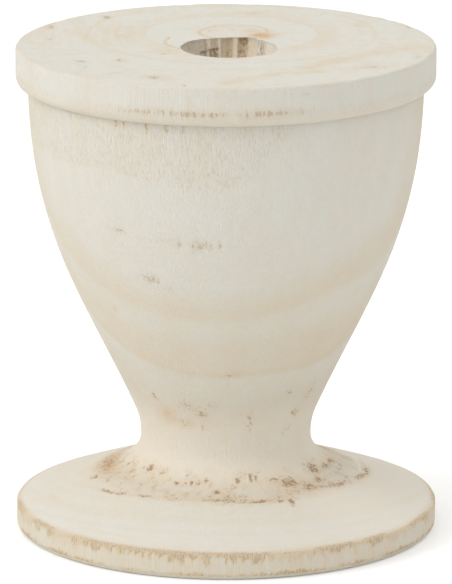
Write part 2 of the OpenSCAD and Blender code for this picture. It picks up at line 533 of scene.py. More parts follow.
# Tears in the ring of the cove, given in the same way, with a radius in the place of the height.
COVE_TEARS = (
    (-92, 28.8, 20, 3.2, 0.85),
    (-79, 32.8, 2.6, 0.9, 1.2),
    (-70, 30.8, 3, 1.0, 0.7),
    (-73, 24.8, 3, 1.0, 0.85),
    (-63, 26.2, 4, 1.0, 0.85),
    (-51, 23.7, 3.0, 1.0, 1.3),
    (-44, 25.4, 2.2, 0.8, 0.6),
    (-28, 25.5, 1.4, 0.6, 1.3),
    (-23.5, 25.1, 1.2, 0.6, 1.15),
    (-20, 24.9, 1.2, 0.6, 1.2),
    (-16, 24.7, 1.3, 0.6, 1.2),
    (-12, 24.3, 1.2, 0.8, 1.15),
    (-9, 25.0, 1.1, 1.0, 0.9),
    (-5, 27.2, 2.0, 0.7, 1.45),
    (0, 26.6, 2.6, 1.0, 0.6),
    (7, 24.2, 2.0, 0.9, 1.2),
    (15.5, 23.9, 1.2, 1.2, 1.2),
    (18.5, 24.0, 1.2, 1.0, 1.2),
    (29, 25.0, 3, 1.0, 1.0),
    (36, 26.2, 5, 1.6, 1.4),
    (45, 28.2, 4, 1.3, 1.2),
    (55, 27.6, 4, 1.2, 1.25),
    (60, 24.4, 5, 1.6, 1.3),
    (73, 25.4, 5, 1.2, 1.15),
    (84, 26.4, 6, 1.6, 1.35),
    (66, 31.0, 5, 1.2, 0.7),
    (24, 31.4, 1.8, 0.9, 1.25),
    (28.5, 32.6, 1.3, 1.5, 1.4),
    (118, 27.0, 14, 2.8, 0.8),
    (152, 24.4, 8, 1.2, 0.9),
    (140, 27.5, 3, 1.2, 0.8),
    (178, 26.6, 8, 2.0, 0.8),
    (-164, 24.3, 3, 0.9, 0.9),
    (-145, 24.6, 6, 1.2, 0.8),
    (-124, 26.0, 8, 2.2, 0.8),
)
# Azimuth, half-width in degrees and strength of where the row of pits on the rim's side is dense.
RIM_DASHES = ((-14, 26, 1.0), (12, 14, 1.0), (-74, 8, 0.7))
# Single pits and tan streaks on the rim's side, given as the groups of gashes are.
RIM_PITS = ((22, 118, 1.4, 0.9, 0.85), (150, 116, 3, 1.5, 0.8), (-140, 117, 3, 1.2, 0.8))
RIM_STREAKS = ((-10, 117, 0.8, 3, 1.0), (-40, 116, 0.8, 4, 0.5), (42, 116, 0.8, 4, 0.3))
# Azimuth and height of the lower edge of the torn zone under the rim.
TORN_EDGE = (
    (-180, 112), (-150, 106), (-110, 99), (-60, 97), (-34, 97), (-17, 95), (-4, 93.5), (7, 96), (11, 99.5),
    (15, 104.5), (19, 108.5), (23, 112), (100, 112), (125, 107), (150, 112), (180, 112),
)
# Azimuth and strength of the brown streaks that hang from the crease.
CREASE_STREAKS = (
    (-73, 0.8), (-66, 0.9), (-33, 1.0), (-30, 0.9), (-23, 0.9), (-17, 1.0), (-12, 0.9), (-50, 0.5),
    (-3, 0.5), (6, 0.4), (-100, 0.8), (-128, 0.7), (132, 0.8), (160, 0.6),
)
# Azimuth and radius of the outer edge of the raised leaf of wood on the right of the cove.
LEAF_EDGE = ((18, 31.0), (38, 29.4), (50, 29.8), (63, 32.0), (75, 33.0), (92, 34.2), (114, 35.6))
# Amber and tan patches, given as the gashes are for the cup and as the tears are for the foot.
NECK_AMBER = ((-38, 32, 7, 2.4, 0.75), (-24, 30.5, 5, 1.2, 0.5), (46, 32, 4, 1.2, 0.5))
COVE_AMBER = ((-92, 29, 20, 3.4, 1.1), (38, 27.5, 10, 3, 0.35))
CUP_TAN = ((-32, 31, 16, 4, 1.0), (0, 27, 6, 2, 0.8), (40, 52, 30, 6, 0.5))
FOOT_TAN = ((-74, 43.7, 5, 0.9, 0.4), (-38, 47.4, 11, 0.35, 0.4), (50, 45, 9, 0.8, 0.2))


def crease_streaks(p, azimuth, sizes):
    """Brown streaks that hang from the crease: s exp(-(da/w)^2), where the half-width w narrows
    downwards, as far as a ragged lower end."""
    height = p[..., 2]
    below = (sizes.crease_height - height).clip(0, 4)
    streaks = np.zeros_like(height)
    for place, strength in CREASE_STREAKS:
        across = turn(azimuth, place) / (0.62 - 0.1 * below)
        streaks = np.maximum(streaks, strength * np.exp(-(across**2)))
    hang = 1.4 + 1.4 * (0.5 + 0.5 * noise(p, (2, 2, 90), 38))
    end = sizes.crease_height - hang
    return streaks * ramp(end - 0.8, end + 0.2, height)


def cove_tears(p, azimuth, radius, ring, on_cove, wander):
    """Torn wood of the cove, 0 to about 1.5, and the raised leaf of wood on its right, 0 to 1. The
    tears are the listed ones, a dotted line along one growth ring, the leaf's ragged rim and a fine
    sprinkle next to the waist."""
    tears = on_cove * patches(azimuth + 0.7 * wander, radius + 0.2 * wander, COVE_TEARS)
    dotted = np.exp(-(((ring - 43.4 - 0.2 * wander) / 0.75) ** 2)) * on_cove
    dotted *= ramp(28, 30, radius) * ramp(36, 34, radius)
    dotted *= ramp(32, 22, azimuth)
    dotted *= 0.25 + 0.75 * ramp(-0.2, 0.4, noise(p, (4, 4, 4), 39))
    leaf_edge = np.interp(azimuth, *zip(*LEAF_EDGE)) + 0.25 * wander
    by_leaf = ramp(18, 26, azimuth) * ramp(116, 104, azimuth) * on_cove
    leaf_rim = 0.9 * np.exp(-(((radius - leaf_edge) / 1.15) ** 2)) * by_leaf
    leaf_rim *= 0.5 + 0.5 * ramp(-0.3, 0.3, noise(p, (3, 3, 3), 49))
    leaf = ramp(leaf_edge - 1.0, leaf_edge - 1.8, radius) * ramp(25.5, 27, radius)
    leaf = leaf * by_leaf * ramp(52, 62, azimuth)
    sprinkle = 0.55 * on_cove * ramp(-0.1, 0.45, cloudy(p, (1.6, 1.6, 1.6), 47))
    sprinkle *= ramp(34, 31, radius) * ramp(21.8, 23, radius)
    return strongest(tears * (1 - 0.8 * leaf), dotted, 1.1 * leaf_rim, sprinkle), leaf


def foot_side_bands(p, sizes):
    """How bare the foot's upright side is, 0 to about 1, along two ragged bands: one over its lower
    edge and one under its upper edge. Where they are broad, the lower one is strong and the upper
    one weak."""
    height = p[..., 2]
    segments = 0.5 + 0.5 * cloudy(p, (9, 9, 60), 50)
    low_end = 1.1 + 1.5 * segments + 0.8 * cloudy(p, (0.8, 0.8, 40), 41, 2)
    high_end = sizes.foot_side - 0.2 - 1.7 * segments + 2.2 * cloudy(p, (0.8, 0.8, 40), 42, 2)
    low_band = ramp(low_end + 0.3, low_end - 0.3, height) * ramp(0.6, 1.0, height)
    high_band = ramp(high_end - 0.4, high_end + 0.4, height)
    low_band *= 0.78 + 0.2 * ramp(0.3, 0.7, segments)
    high_band *= 0.55 + 0.35 * ramp(0.62, 0.42, segments)
    return np.maximum(low_band, high_band)


def side_wear(p, azimuth, sizes):
    """What a turned side shows at undisplaced points p: relief in millimetres outwards, and marks.

    ring counts growth rings; torn is how thickly fine pits stand; brown is bare broken wood; amber is
    resin colour; tan is how much more bare, or less, than the rings say; the pale mark is how pale the
    wood is made, partly pale dry wood and partly painted light that offsets shade on the neck and the
    foot's top; fibres is how strongly upright fibres show.
    """
    height = p[..., 2]
    radius = np.hypot(p[..., 0], p[..., 1])
    ring = ring_label(p)
    on_cove = ramp(24.5, 22, height)
    above_cove = 1 - on_cove
    on_side = ramp(sizes.foot_side + 1.3, sizes.foot_side + 0.8, height)
    ragged = p + 0.9 * np.stack([noise(p, 4.5, s) for s in (31, 32, 33)], axis=-1)
    wander = 2.2 * noise(p, (7, 7, 7), 34)

    torn_edge = np.interp(azimuth, *zip(*TORN_EDGE)) + 1.2 * cloudy(p, (5, 5, 40), 35)
    under_rim = ramp(torn_edge - 0.8, torn_edge + 1.2, height)
    zone = 0.56 * under_rim * (0.8 + 0.2 * ramp(-60, -5, azimuth))
    gashes = above_cove * patches(azimuth, height, SIDE_PITS)
    scattered = 0.3 * above_cove * ramp(0.1, 0.5, cloudy(p, (14, 14, 22), 36)) * ramp(60, 40, height)
    torn = strongest(zone, gashes, scattered)
    ticks = patches(azimuth, height, [(*place, 0.75, 0.95, 1.0) for place in SIDE_TICKS])
    streaks = crease_streaks(p, azimuth, sizes)
    tears, leaf = cove_tears(p, azimuth, radius, ring, on_cove, wander)
    specks = 1.1 * above_cove * patches(azimuth + 0.3 * wander, height, NECK_SPECKS)
    halo = np.sqrt(np.minimum(tears, 1))
    broken = tears * ramp(-0.1, 0.45, cloudy(ragged, (1.3, 1.3, 1.3), 40) + 0.5 * (tears - 0.5))
    bare_side = foot_side_bands(p, sizes)
    rubbed = np.exp(-(((height - sizes.foot_side - 0.45) / 0.2) ** 2)) * ramp(49.5, 50.5, radius)
    rubbed = rubbed * (0.75 + 0.35 * noise(p, (5, 5, 5), 48))
    seam = ramp(sizes.crease_height - 0.45, sizes.crease_height, height)

    relief = 0.10 * cloudy(p, (30, 30, 45), 43) + 0.03 * cloudy(p, (1.6, 1.6, 14), 44)
    relief += 0.02 * on_cove * np.sin(ring * 1.9) * ramp(30, 36, radius)
    relief -= (0.05 * torn + 0.08 * torn * cloudy(p, (0.9, 0.9, 5), 45)) * above_cove
    relief -= 0.08 * streaks * above_cove + 0.1 * ticks
    relief -= broken * (0.22 + 0.25 * cloudy(p, (1.1, 1.1, 1.1), 46)) + 0.08 * tears
    relief += 0.4 * leaf * (1 - broken)
    relief -= 0.04 * rubbed
    relief = relief * (1 - seam) - 0.06 * seam

    mottle = 0.7 + 0.5 * cloudy(ragged, (1.6, 1.6, 2.4), 58)
    amber = strongest(
        above_cove * patches(azimuth, height, NECK_AMBER) * mottle,
        on_cove * mottle * patches(azimuth, radius, COVE_AMBER),
        0.18 * specks,
        0.32 * halo * on_cove,
        0.2 * streaks * above_cove,
        0.05 * rubbed + 0.04 * on_side * bare_side,
    )
    tan = 0.16 * above_cove * patches(azimuth, height, CUP_TAN)
    tan += 0.14 * above_cove * ramp(42, 34, height) * ramp(-0.1, 0.5, cloudy(ragged, (2.4, 2.4, 4), 59))
    tan += 0.35 * streaks * above_cove + 0.3 * ticks
    tan += under_rim * (0.02 + 0.07 * ramp(20, -50, azimuth))
    tan += on_cove * (0.12 * ramp(34, 29, radius) + patches(azimuth, radius, FOOT_TAN))
    tan += on_side * (0.5 * bare_side + 0.36 * ramp(0.7, 1.2, height))
    tan += 0.2 * halo + 0.55 * rubbed - 0.15 * leaf
    brown = strongest(
        tears, specks, 1.2 * streaks**2, 0.25 * rubbed, 0.14 * on_side * bare_side, 0.5 * ticks
    )
    # Painted light: the foot's top outside the cove is made paler, partly for its paler outer rings and
    # partly to offset the cup's shade, and more on the right, where the cup's shadow falls.
    to_right = ramp(15, 60, azimuth) * ramp(160, 120, azimuth)
    weathered_and_painted_light = on_cove * ramp(sizes.foot_side, sizes.foot_side + 1, height) * ramp(28, 34, radius)
    weathered_and_painted_light *= 0.2 + 0.22 * to_right
    # Painted light: the neck, shaded by the cup above it, is made paler.
    weathered_and_painted_light += 0.36 * ramp(38, 28, height) * ramp(14, 18, height)
    fibres = 0.08 + 0.04 * under_rim + 0.12 * np.clip(torn, 0, 1)
    torn = strongest(torn, 0.95 * on_side * bare_side, ticks, 0.85 * rubbed)
    off_floor = ramp(0.0, 1.4, height)  # no relief at the floor, so that the foot stands flat
    return relief * off_floor, {
        "ring": ring,
        "torn": np.clip(torn, 0, 1),
        "brown": np.clip(brown, 0, 2.2),
        "amber": np.clip(amber, 0, 1),
        "tan": tan + 0.1 * seam,
        "weathered_and_painted_light": weathered_and_painted_light,
        "fibres": np.clip(fibres * above_cove + 0.32 * on_side, 0, 1),
    }


def worn_side(outline, run, wear, sizes):
    """Rings on an outside at given lengths of path, each point moved along the path's outward
    direction by the relief that a wear function gives. Returns the rings and their marks."""
    point, out = outline.pick(run)
    smooth = ring_points(point[:, 0], point[:, 1])
    azimuth = np.broadcast_to(azimuths(), smooth.shape[:2])
    relief, marks = wear(smooth, azimuth, sizes)
    rings = ring_points(point[:, :1] + out[:, :1] * relief, point[:, 1:] + out[:, 1:] * relief)
    return rings, marks


def plain_marks(rings, tan=0.2):
    """Marks of faces inside a joint, which are bare, clean-cut wood."""
    flat = np.zeros(rings.shape[:2])
    marks = dict.fromkeys(MARKS, flat)
    marks.update({"ring": ring_label(rings), "tan": flat + tan, "fibres": flat + 0.3})
    return marks


def stacked(*parts):
    """Joins stretches of rings, and their marks, into one run."""
    rings = np.concatenate([rings for rings, marks in parts])
    marks = {name: np.concatenate([marks[name] for rings, marks in parts]) for name in parts[0][1]}
    return rings, marks


# ------------------------------------------------------------------ the candle hole and the top

# Azimuth about the hole, and how far its torn edge breaks out past the drilled circle.
HOLE_CHIPS = (
    (-180, 1.2), (-165, 1.0), (-150, 1.0), (-135, 1.2), (-115, 0.7), (-92, 0.4), (-78, 0.1), (-60, 0.0),
    (70, 0.0), (100, 0.0), (125, 0.1), (146, 0.5), (152, 2.0), (162, 2.4), (172, 1.5), (180, 1.2),
)
# Azimuth about the hole, 0 to 360, and how pale, how brown and how bare its wall is there.
# The pale share of 1 on the front and right of the wall is painted light that offsets the shade inside the
# hole; the pale stripes between 147 and 206 are pale fibres.
HOLE_PALE = (
    (0, 1.0), (130, 1.0), (147, 0.8), (149, 0.5), (160, 0.45), (162.5, 0.0), (170.5, 0.0), (171.5, 0.55),
    (176, 0.55), (178, 0.0), (189, 0.0), (190.5, 0.9), (192.5, 0.8), (194, 0.1), (201, 0.15), (203, 0.9),
    (205, 0.8), (206.5, 0.1), (250, 0.1), (290, 0.6), (360, 1.0),
)
HOLE_BROWN = (
    (0, 0.0), (130, 0.0), (136, 0.3), (147, 0.3), (149, 0.1), (160, 0.2), (162.5, 1.0), (164, 1.25),
    (170, 1.0), (171.5, 0.1), (176.5, 0.15), (178.5, 0.5), (182, 0.62), (189, 0.4), (190.5, 0.0),
    (192.5, 0.0), (194, 0.45), (201, 0.35), (203, 0.0), (205, 0.0), (207, 0.35), (250, 0.3), (290, 0.0),
    (360, 0.0),
)
HOLE_BARE = (
    (0, 0.0), (130, 0.0), (147, 0.1), (149, 0.7), (176, 0.8), (190, 0.6), (192, 0.5), (194, 0.6), (202, 0.5),
    (204, 0.3), (207, 0.35), (250, 0.3), (290, 0.0), (360, 0.0),
)
# Across, behind, half-widths and strength of bare blots on the top face.
TOP_BLOTS = (
    (-26, 14, 3.4, 12, 0.30),
    (-30.5, 20, 1.2, 10, 0.3),
    (-35.3, 13, 1.1, 9, 0.45),
    (-29.5, 33.5, 1.5, 3.0, 0.5),
    (-22, 41.5, 7, 2.2, 0.4),
    (-44, 21, 2.0, 8, 0.45),
    (-40, 31, 3, 5, 0.25),
    (7, 39, 7, 2.6, 0.42),
    (33, 23, 2.4, 6, 0.36),
    (38, 4, 2, 6, 0.24),
    (25, 6, 3.5, 7, 0.16),
    (-16, -8, 3.4, 2.4, 0.7),
    (-9, -13, 2.4, 0.8, 0.8),
    (-12, -10.4, 3.0, 0.7, 0.6),
    (-25.4, -18, 1.8, 2.4, 0.6),
    (-17, -38.5, 3.6, 2.8, 0.55),
    (-25, -33, 3, 1.6, 0.35),
    (35, -27, 5, 3, 0.28),
    (15, 27, 5, 2.4, 0.2),
    (-2, 47, 16, 2.5, 0.2),
    (38, 33, 7, 3, 0.2),
    (-12, -30, 12, 1.2, 0.2),
    (10, -18, 8, 1.2, 0.16),
)
# The same for pits in the top face.
TOP_PITS = (
    (-34.7, -19.8, 2.6, 2.0, 0.95),
    (-33.4, -25.6, 1.4, 2.0, 0.85),
    (-25.4, -18, 1.4, 1.6, 1.0),
    (-17.2, -38, 3, 2.4, 0.95),
    (-25.5, -32.6, 2, 1, 0.7),
    (-14.7, -10.6, 0.8, 0.7, 1.4),
    (-18.5, -46.5, 1.2, 1.2, 1.1),
    (-10, -47, 1.2, 1.0, 1.0),
    (-42.7, 7, 0.9, 1.4, 1.1),
    (-43.6, 22, 1.0, 4, 1.0),
    (-29.5, 33.5, 0.9, 2.4, 1.1),
    (44.5, 22, 0.9, 1.8, 1.3),
    (35, -26.8, 3.4, 2.0, 0.85),
    (31, -30, 2, 1.2, 0.7),
    (33, 24, 1.2, 4, 0.7),
    (7, 39, 3.4, 2, 0.75),
    (0, -17.6, 7, 1.6, 0.7),
    (-6, -21, 6, 1.4, 0.6),
    (46, -14, 1.0, 2.4, 0.8),
)
# The same for the amber patch beside the candle hole.
TOP_AMBER = ((8.9, 11.2, 2.8, 3.6, 1.45), (12.0, 12.0, 2.2, 1.0, 0.6), (6.6, 16.4, 2.4, 1.6, 0.5))
# Places, across and behind, along the crack in the top face and along its two broad bare bands.
FISSURE = ((-13.8, 9.0), (-14.4, 5.5), (-14.0, 1.5), (-12.8, -2.5), (-10.8, -5.6))
FLAT_BANDS = (
    ((20, -25.5), (28, -17.5), (36, -10), (46, -3)),
    ((0.6, -45), (4.8, -39), (12, -34), (22, -31.2)),
)


def hole_depth_wear(azimuth, depth, p):
    """How far the candle hole's wall stands back from the drilled circle, at an azimuth about the hole
    and a depth under the top: chips at the mouth that fade with depth, upright torn fibres, and one
    broken ledge at the back left."""
    mouth = np.interp(azimuth, *zip(*HOLE_CHIPS))
    mouth = mouth + (0.12 + 0.25 * np.minimum(mouth, 1)) * cloudy(p, (1.3, 1.3, 40), 61, 2)
    fade = ramp(11, 0.5, depth)
    torn_half = 0.35 + 0.65 * ramp(70, 110, np.abs(azimuth))
    lifted = np.maximum(0, noise(p, (1.8, 1.8, 14), 63))
    fibres = torn_half * (0.22 * cloudy(p, (0.8, 0.8, 9), 62) + 0.2 * lifted)
    panels = 0.45 * np.interp(azimuth % 360, *zip(*HOLE_BROWN)) * ramp(0.1, 0.7, depth)
    back = np.maximum(mouth, 0) * fade + fibres + panels
    return back + 0.5 * under_ledge(azimuth, depth, p)


def under_ledge(azimuth, depth, p):
    """Where the hole's wall is broken away under a ledge at the back left, 0 to 1: the ledge drops from
    2.4 mm deep at azimuth -167 to 3.1 mm at azimuth -148."""
    ledge = 3.1 + 0.037 * (azimuth + 148) + 0.15 * noise(p, (1.5, 1.5, 4), 64)
    return ramp(-169, -167, azimuth) * ramp(-143, -149, azimuth) * ramp(ledge, ledge + 0.25, depth)


def hole_marks(rings, azimuth, depth):
    """Marks of the candle hole's wall, in upright stripes: dull on the left, then panels of brown with
    pale fibres between them, then bare wood, then pale wood with pores on the right. The pale colour on
    the right and front walls is painted light that offsets the shade inside the hole, and the brown
    under the ledge is painted shade."""
    way = azimuth % 360
    pale = np.interp(way, *zip(*HOLE_PALE))
    brown = np.interp(way, *zip(*HOLE_BROWN))
    bare = np.interp(way, *zip(*HOLE_BARE))
    stripes = cloudy(rings, (0.7, 0.7, 9), 65) + 0.8 * cloudy(rings, (0.9, 0.9, 1.5), 66)
    inside = ramp(0.0, 0.6, depth) * ramp(16, 7, depth)
    recess = under_ledge(azimuth, depth, rings)
    pores = ramp(128, 134, way) * ramp(150, 145, way)
    torn_half = ramp(90, 125, way) * ramp(260, 230, way)
    return {
        "ring": ring_label(rings),
        "torn": inside * (0.25 + 0.6 * pores + 0.2 * ramp(0.0, 0.5, stripes)) * torn_half,
        # Painted shade: extra brown in the recess under the ledge, where shade falls.
        "brown": np.clip(inside * brown * (0.8 + 0.4 * stripes) + 0.6 * inside * recess, 0, 1),
        "amber": np.clip(0.2 * inside * brown + 0.1 * inside * ramp(0, 0.6, stripes), 0, 1),
        "tan": inside * (bare + 0.3 * stripes),
        # Pale fibres at the back, and painted light on the front and right walls.
        "weathered_and_painted_light": np.clip(inside * (pale + 0.2 * stripes), 0, 1),
        "fibres": 0.25 * inside * np.ones_like(stripes),
    }


def hole_wall(top_height, start, end, rows):
    """Rings down the candle hole from depth start to end: the drilled circle, pushed back by wear."""
    depth = np.linspace(start, end, rows)[:, None]
    azimuth = np.broadcast_to(azimuths(), (rows, COLUMNS))
    drilled_wall = ring_points(BORE_RADIUS, top_height - depth, BORE_CENTRE)
    back = hole_depth_wear(azimuth, depth, drilled_wall)
    rings = ring_points(BORE_RADIUS + back, np.broadcast_to(top_height - depth, back.shape), BORE_CENTRE)
    return rings, hole_marks(rings, azimuth, depth)


def top_wear(rings):
    """Wear of the flat top at its points: relief in millimetres upwards, and marks. Rings of the tree
    show as faint ridges; the first ring round the pith and a patch beside the hole are amber."""
    x, y = rings[..., 0], rings[..., 1]
    level = np.zeros_like(rings)
    level[..., :2] = rings[..., :2]
    ring = ring_label(level + (0, 0, 120))
    bent = 0.8 * np.stack([noise(level, 3.5, s) for s in (71, 72)], axis=-1)
    bx, by = x + bent[..., 0], y + bent[..., 1]
    pits = blots(bx, by, TOP_PITS)
    hollows = np.clip(pits, 0, 1)
    crack = np.exp(-((from_line(bx, by, FISSURE) / 0.5) ** 2))
    from_hole = np.hypot(x - BORE_CENTRE[0], y - BORE_CENTRE[1]) - BORE_RADIUS
    bands = sum(np.exp(-((from_line(bx, by, line) / w) ** 2)) for line, w in zip(FLAT_BANDS, (3.0, 2.2)))
    bands = bands * (0.8 + 0.35 * cloudy(level, (3.5, 3.5, 3.5), 81))
    from_first = np.hypot(x - 2.0, y - 15.2)
    first_ring = np.exp(-(((from_first - 8.4 - 0.4 * noise(level, 4, 73)) / 0.5) ** 2))
    first_ring = np.maximum(first_ring, 0.7 * np.exp(-(((from_first - 6.2) / 0.4) ** 2)) * ramp(14, 17, y))
    amber_spot = blots(bx, by, TOP_AMBER)
    amber = np.maximum(0.55 * first_ring, amber_spot * (0.8 + 0.3 * cloudy(level, (1.2, 1.2, 1.2), 82)))
    speckle = ramp(9, 7.5, np.hypot(x - 1.9, y - 13.4)) * ramp(0.1, 0.5, noise(level, 1.6, 74))
    edge = ramp(49.0, 50.6, np.hypot(x, y))

    relief = 0.06 * cloudy(level, (18, 18, 18), 75) + 0.025 * cloudy(level, (1.2, 1.2, 1.2), 76)
    relief -= 0.24 * hollows * ramp(-0.2, 0.5, noise(level, 1.1, 77))
    relief -= 0.12 * crack + 0.05 * bands
    relief -= 0.25 * ramp(1.6, 0.0, from_hole) * ramp(0.0, 0.6, noise(level, (1.6, 1.6, 1.6), 78))
    streaky = ramp(-20, -26, x) * ramp(-6, 4, y) * ramp(32, 26, y)
    streaky *= ramp(-0.1, 0.4, cloudy(level, (0.9, 8, 5), 83, 2))
    tan = blots(bx, by, TOP_BLOTS) * (0.65 + 0.45 * cloudy(level, (2.5, 5, 5), 79))
    tan += 0.55 * np.minimum(bands, 1) + 0.22 * streaky + 0.5 * np.sqrt(crack)
    tan += 0.22 * hollows * ramp(-0.3, 0.3, noise(level, 1.6, 86))
    tan += 0.12 * speckle + 0.16 * edge + 0.2 * cloudy(level, (1.5, 1.5, 1.5), 84, 2)
    brown = 0.6 * crack + 0.45 * hollows * ramp(-0.1, 0.5, noise(level, 0.7, 80)) + 0.3 * amber_spot
    torn = 0.95 * pits + 0.25 * speckle + 0.2 * ramp(0.0, 0.5, cloudy(level, (6, 6, 6), 85))
    return relief, {
        "ring": ring,
        "torn": np.clip(torn, 0, 1),
        "brown": np.clip(brown, 0, 1),
        "amber": np.clip(amber, 0, 1),
        "tan": tan,
        "weathered_and_painted_light": np.zeros_like(x),
        "fibres": np.full_like(x, 0.12),
    }


# ------------------------------------------------------------------ the pieces


def make_foot(sizes):
    """The foot disc: a pole under the middle, the worn outside up to the joint, the joint's flat face,
    and the blind dowel hole with a pole on its floor."""
    outline = turned_outline(sizes)
    low, high = outline.run[0], outline.at_height(sizes.joint_height)
    side, corner = outline.at_height(sizes.foot_side - 0.2), outline.at_height(sizes.foot_side + 1.2)
    edge = outline.at_height(sizes.foot_low_edge)
    run = np.concatenate(
        [[low], steps(low, edge, 6), steps(edge, side, 13), steps(side, corner, 7), steps(corner, high, 66)]
    )
    outside = worn_side(outline, run, side_wear, sizes)
    underside = ring_points(steps(0, outline.radius(low), 9)[:-1], 0.0)
    hole_radius = cad_size("foot_dowel", 1, 0) + sizes.glue_gap
    mouth = ring_points(hole_radius, sizes.joint_height)[0]
    shelf = ring_points(outline.radius(high) - FOOT_JOINT_EDGE, sizes.joint_height)[0]
    face = blend_rings(shelf, mouth, np.linspace(0, 1, 6))
    floor = cad_size("foot_dowel", 0, 2)
    wall = ring_points(hole_radius, steps(sizes.joint_height, floor, 4))
    bottom = ring_points(steps(hole_radius, 0, 4)[:-1], floor)
    inside = np.concatenate([face, wall, bottom])
    rings, marks = stacked(
        (underside, plain_marks(underside, 0.1)), outside, (inside, plain_marks(inside))
    )
    return closed_mesh("foot_disc_wood", rings, marks, [(0, 0, 0), (0, 0, floor)])


def make_cup(sizes):
    """The cup: a pole at the top of the foot dowel's hole, its wall, the joint's flat face, the worn
    outside from the joint up to the crease, the flat face under the rim, the lower part of the candle
    hole and a pole on its floor. Two more holes take the rim's dowels."""
    outline = turned_outline(sizes)
    low, high = outline.at_height(sizes.joint_height), outline.at_height(sizes.crease_height)
    neck, shoulder = outline.at_height(34.0), outline.at_height(sizes.crease_height - 16)
    run = np.concatenate([[low], steps(low, neck, 50), steps(neck, shoulder, 54), steps(shoulder, high, 26)])
    outside = worn_side(outline, run, side_wear, sizes)
    hole_radius = cad_size("foot_dowel", 1, 0) + sizes.glue_gap
    ceiling = cad_size("foot_dowel", 1, 2) + sizes.end_gap
    cap = ring_points(steps(0, hole_radius, 4)[:-1], ceiling)
    wall = ring_points(hole_radius, np.linspace(ceiling, sizes.joint_height, 3))
    shelf = ring_points(outline.radius(low) - FOOT_JOINT_EDGE, sizes.joint_height)[0]
    face = blend_rings(wall[-1], shelf, steps(0, 1, 5))
    below = np.concatenate([cap, wall, face])
    bore, bore_marks = hole_wall(sizes.top_height, sizes.top_height - sizes.crease_height, BORE_DEPTH, 18)
    shoulder_ring = ring_points(outline.radius(high) - RIM_JOINT_EDGE, sizes.crease_height)[0]
    table = blend_rings(shoulder_ring, bore[0], np.linspace(0, 1, 6)[:-1])
    table[..., 2] = sizes.crease_height
    floor_height = sizes.top_height - BORE_DEPTH
    centre = np.append(BORE_CENTRE, floor_height)
    floor = blend_rings(bore[-1], np.broadcast_to(centre, (COLUMNS, 3)), steps(0, 1, 6)[:-1])
    floor[..., 2] += 0.12 * cloudy(floor, (2, 2, 2), 91)
    rings, marks = stacked(
        (below, plain_marks(below)),
        outside,
        (table, plain_marks(table)),
        (bore, bore_marks),
        (floor, plain_marks(floor, 0.1)),
    )
    cup = closed_mesh("cup_body_wood", rings, marks, [(0, 0, ceiling), tuple(centre)])
    drill_rim_dowels(cup, sizes.glue_gap, cad_size("rim_dowels", 0, 2), sizes.crease_height + 1)
    return cup


def make_rim(sizes):
    """The rim plate, a closed loop of rings with no pole: up the worn outside, in across the worn top,
    which blends from the rim's circle to the candle hole's, down the hole, and out underneath."""
    outline = rim_outline(sizes)
    under = outline.at_height(sizes.crease_height + sizes.rim_under)
    edge = outline.at_height(sizes.top_height - sizes.rim_edge)
    run = np.concatenate([[0], steps(0, under, 9), steps(under, edge, 15), steps(edge, outline.run[-1], 5)])
    side, side_marks = worn_side(outline, run, rim_side_wear, sizes)
    bore, bore_marks = hole_wall(sizes.top_height, 0.0, sizes.top_height - sizes.crease_height, 24)
    shares = 1 - np.linspace(1, 0, 92)[1:-1] ** 1.15
    top = blend_rings(side[-1], bore[0], shares)
    lift, top_marks = top_wear(top)
    top[..., 2] += lift * ramp(0, 0.03, shares)[:, None] * ramp(1, 0.99, shares)[:, None]
    seat = ring_points(outline.radius(0) - RIM_JOINT_EDGE, sizes.crease_height)[0]
    below = blend_rings(bore[-1], seat, steps(0, 1, 8))
    below[..., 2] = sizes.crease_height
    rings, marks = stacked(
        (side, side_marks), (top, top_marks), (bore, bore_marks), (below, plain_marks(below))
    )
    rim = closed_mesh("rim_plate_wood", rings, marks)
    hole_top = cad_size("rim_dowels", 1, 2) + sizes.end_gap
    drill_rim_dowels(rim, sizes.glue_gap, sizes.crease_height - 1, hole_top)
    return rim


def rim_side_wear(p, azimuth, sizes):
    """Wear of the rim's upright side and quarter-round: fine upright fibres, a row of short pits just
    above the quarter-round, a tan underside and a rubbed top edge."""
    height = p[..., 2]
    pit_row = sizes.crease_height + sizes.rim_under + 0.6
    row = np.exp(-(((height - pit_row - 0.3 * noise(p, (5, 5, 5), 51)) / 1.15) ** 2))
    dense = [(middle, pit_row, half_width, 9, strength) for middle, half_width, strength in RIM_DASHES]
    dashes = row * np.maximum(patches(azimuth, height, dense), 0.3)
    dashes = dashes * (0.75 + 0.45 * cloudy(p, (0.8, 0.8, 20), 52))
    torn = np.maximum(1.2 * dashes, patches(azimuth, height, RIM_PITS))
    streak = 0.3 * patches(azimuth, height, RIM_STREAKS)
    underside = ramp(pit_row - 0.2, sizes.crease_height + 1.4, height)
    top_edge = ramp(sizes.top_height - 1.0, sizes.top_height - 0.2, height)
    relief = 0.08 * cloudy(p, (30, 30, 45), 53) + 0.02 * cloudy(p, (1.2, 1.2, 9), 54)
    relief -= 0.12 * top_edge * ramp(0, 0.6, cloudy(p, (5, 5, 5), 55))
    relief -= 0.10 * torn * ramp(-0.2, 0.5, noise(p, (0.9, 0.9, 2.5), 56))
    seam = ramp(sizes.crease_height + 0.5, sizes.crease_height, height)
    tan = 0.26 * underside + streak + 0.5 * dashes + 0.15 * seam
    tan += 0.12 * top_edge * (1 + noise(p, (6, 6, 6), 57))
    return relief * (1 - seam), {
        "ring": ring_label(p),
        "torn": np.clip(torn, 0, 1),
        "brown": 0.18 * dashes,
        "amber": 0.06 * dashes,
        "tan": tan,
        "weathered_and_painted_light": np.zeros_like(height),
        "fibres": 0.07 + 0.05 * underside,
    }


